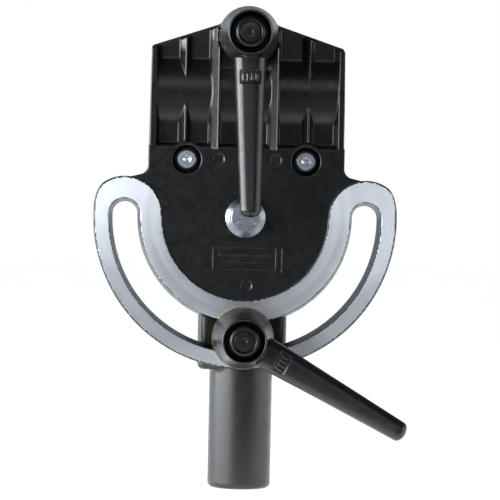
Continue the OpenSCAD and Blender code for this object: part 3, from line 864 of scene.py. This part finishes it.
def bars_mesh(name, bars, front, rear):
    """Raised bars on a face that looks to the front: (x, z, half length, half height, turn in degrees)."""
    chamfer = 0.12
    verts, faces = [], []
    for x, z, half_a, half_b, turn in bars:
        c, s = math.cos(math.radians(turn)), math.sin(math.radians(turn))
        base = len(verts)
        for level, shrink in ((rear, 0.0), (front + chamfer, 0.0), (front, chamfer)):
            for i, k in ((-1, -1), (1, -1), (1, 1), (-1, 1)):
                a, b = i * (half_a - shrink), k * (half_b - shrink)
                verts.append(((x + a * c - b * s) * MM, level * MM, (z + a * s + b * c) * MM))
        faces.append([base + k for k in (3, 2, 1, 0)])
        for ring in (0, 4):
            for k in range(4):
                n = (k + 1) % 4
                faces.append([base + ring + k, base + ring + n, base + ring + 4 + n, base + ring + 4 + k])
        faces.append([base + 8 + k for k in range(4)])
    mesh = bpy.data.meshes.new(name)
    mesh.from_pydata(verts, [], faces)
    mesh.validate()
    return mesh


def raise_bars(name, bars, face, height, body, slot, material):
    """A piece of bars that stand on a face by a height and reach a little into it."""
    mesh = bars_mesh(name, bars, face - height, face + 0.1)
    finish_with(place(name, mesh, body, Matrix.Translation(PIVOT), [], slot), material)


def build_badge():
    """Plain cartouche with two bars and an upright bar beside it, on the plate."""
    x, z, half_a, half_b, line = 0.15, -18.5, 14.5, 4.9, 0.4
    bars = [(x, z + half_b, half_a, line, 0), (x, z - half_b, half_a, line, 0),
            (x - half_a + line, z, line, half_b, 0), (x + half_a - line, z, line, half_b, 0),
            (x, z + 1.5, half_a - 3, 0.55, 0), (x, z - 1.6, half_a - 5, 0.45, 0),
            (16.9, z - 0.4, line, 5.4, 0)]
    raise_bars("badge", bars, PLATE_FRONT, 0.38, "head", "painted_casting", "adapter_paint")


def build_ticks():
    """Three plain ticks on the pivot bolt's head."""
    ticks = []
    for turn in (90, 210, 330):
        away = math.radians(turn)
        ticks.append((4.3 * math.cos(away), 4.3 * math.sin(away), 1.2, 0.3, turn))
    raise_bars("bolt_ticks", ticks, mm_box("pivot_bolt")[0].y, 0.15, "stand", "zinc_plate", "zinc_plate")


# ---- Stage --------------------------------------------------------------------------------------------

# Brightness of what lies in front of the object, on the camera's side, and of the table behind it.
FRONT_LIGHT = 0.08
TABLE_GLOW = 1.6
FLOOR_REACH = 6.0
WHITE = (1.0, 1.0, 1.0)

# Area lights: place, width and height, power and colour. All of them look at the pivot.
SOFTBOXES = {
    "key_left": ((-0.757, -0.26, 0.20), (1.2, 0.42), 19.0, (0.96, 1.0, 1.03)),
    "strip_a": ((0.07, -0.73, 0.45), (0.06, 0.25), 0.16, WHITE),
    "strip_b": ((-0.17, -0.70, 0.42), (0.06, 0.25), 0.12, WHITE),
    "strip_c": ((-0.05, -0.73, 0.45), (0.16, 0.20), 0.10, WHITE),
    "fill_right": ((0.75, -0.25, 0.20), (0.8, 0.42), 2.0, WHITE),
}

# Camera: distance, lens, angles in degrees, and how far its target is from the pivot in its own picture.
CAMERA_DISTANCE = 1.1
CAMERA_LENS = 177.0
CAMERA_AZIMUTH, CAMERA_ELEVATION, CAMERA_ROLL = -1.7, 0.8, 1.2
TARGET_RIGHT, TARGET_UP = 0.0021, -0.0145


def build_floor():
    """Plain white floor that also glows: bright behind the object and dim on the camera's side."""
    mesh = bpy.data.meshes.new("floor")
    level = cad_box[0].z - 0.0002
    corners = [(i * FLOOR_REACH, k * FLOOR_REACH, level) for i, k in ((-1, -1), (1, -1), (1, 1), (-1, 1))]
    mesh.from_pydata(corners, [], [(0, 1, 2, 3)])
    floor = bpy.data.objects.new("floor", mesh)
    bpy.context.scene.collection.objects.link(floor)
    n = Nodes("floor")
    glow = n.remap(n.split(n.place)[1], -0.20, -0.08, FRONT_LIGHT, TABLE_GLOW)
    seen = n.add("ShaderNodeLightPath").outputs["Is Camera Ray"]
    unseen_glow = n.math("MULTIPLY", n.math("SUBTRACT", 1.0, seen), glow)
    strength = n.math("ADD", n.math("MULTIPLY", seen, 0.95), unseen_glow)
    shade = n.mix(n.noise(400.0), grey(0.30), grey(0.34))
    floor.data.materials.append(n.set(Base_Color=shade, Roughness=0.9, Emission_Strength=strength,
                                      Emission_Color=grey(1.0, (0.97, 1.0, 1.02))))


def build_lights():
    """Large soft key at the left, weak strips above the camera and a weak fill at the right."""
    for name, (location, size, power, colour) in SOFTBOXES.items():
        light = bpy.data.lights.new(name, "AREA")
        light.shape = "RECTANGLE"
        light.size, light.size_y = size
        light.energy = power
        light.color = colour
        lamp = bpy.data.objects.new(name, light)
        lamp.location = location
        lamp.rotation_euler = (PIVOT - Vector(location)).to_track_quat("-Z", "Y").to_euler()
        lamp.visible_camera = False
        bpy.context.scene.collection.objects.link(lamp)


def build_surround():
    """White to the camera. To the object it is bright behind, dim in front and dim overhead."""
    world = bpy.data.worlds.new("studio")
    bpy.context.scene.world = world
    world.use_nodes = True
    n = Tree(world.node_tree)
    _, y, z = n.split(n.add("ShaderNodeTexCoord").outputs["Generated"])
    behind = n.remap(y, -0.95, -0.15, FRONT_LIGHT, 0.95, interpolation_type="SMOOTHSTEP")
    overhead = n.remap(z, 0.15, 0.5, 1.0, 0.08, interpolation_type="SMOOTHSTEP")
    around = n.tree.nodes["Background"]
    around.inputs["Color"].default_value = (0.88, 0.94, 1.06, 1)
    n.feed(around.inputs["Strength"], n.math("MULTIPLY", behind, overhead))
    seen = n.add("ShaderNodeBackground")
    seen.inputs["Color"].default_value = (1, 1, 1, 1)
    mix = n.add("ShaderNodeMixShader")
    n.feed(mix.inputs[0], n.add("ShaderNodeLightPath").outputs["Is Camera Ray"])
    n.feed(mix.inputs[1], around.outputs[0])
    n.feed(mix.inputs[2], seen.outputs[0])
    n.feed(n.tree.nodes["World Output"].inputs["Surface"], mix.outputs[0])


def build_camera():
    """Camera square on to the front, a touch to the left and above, rolled so that the object leans right."""
    azimuth, elevation = math.radians(CAMERA_AZIMUTH), math.radians(CAMERA_ELEVATION)
    back = Vector((math.sin(azimuth) * math.cos(elevation), -math.cos(azimuth) * math.cos(elevation),
                   math.sin(elevation)))
    turn = (-back).to_track_quat("-Z", "Y").to_matrix().to_4x4()
    turn = turn @ Matrix.Rotation(math.radians(CAMERA_ROLL), 4, "Z")
    right, up = turn.col[0].to_3d(), turn.col[1].to_3d()
    target = PIVOT + Vector((0, PLATE_FRONT * MM, 0)) + right * TARGET_RIGHT + up * TARGET_UP
    data = bpy.data.cameras.new("camera")
    data.lens, data.sensor_width = CAMERA_LENS, 36.0
    data.clip_start, data.clip_end = 0.05, 50.0
    camera = bpy.data.objects.new("camera", data)
    bpy.context.scene.collection.objects.link(camera)
    camera.matrix_world = Matrix.Translation(target + back * CAMERA_DISTANCE) @ turn
    bpy.context.scene.camera = camera


build_castings()
build_levers()
build_springs()
build_badge()
build_ticks()
dress_cad_nodes()
build_floor()
build_lights()
build_surround()
build_camera()
bpy.context.scene.view_settings.view_transform = "Standard"

bpy.context.view_layer.update()
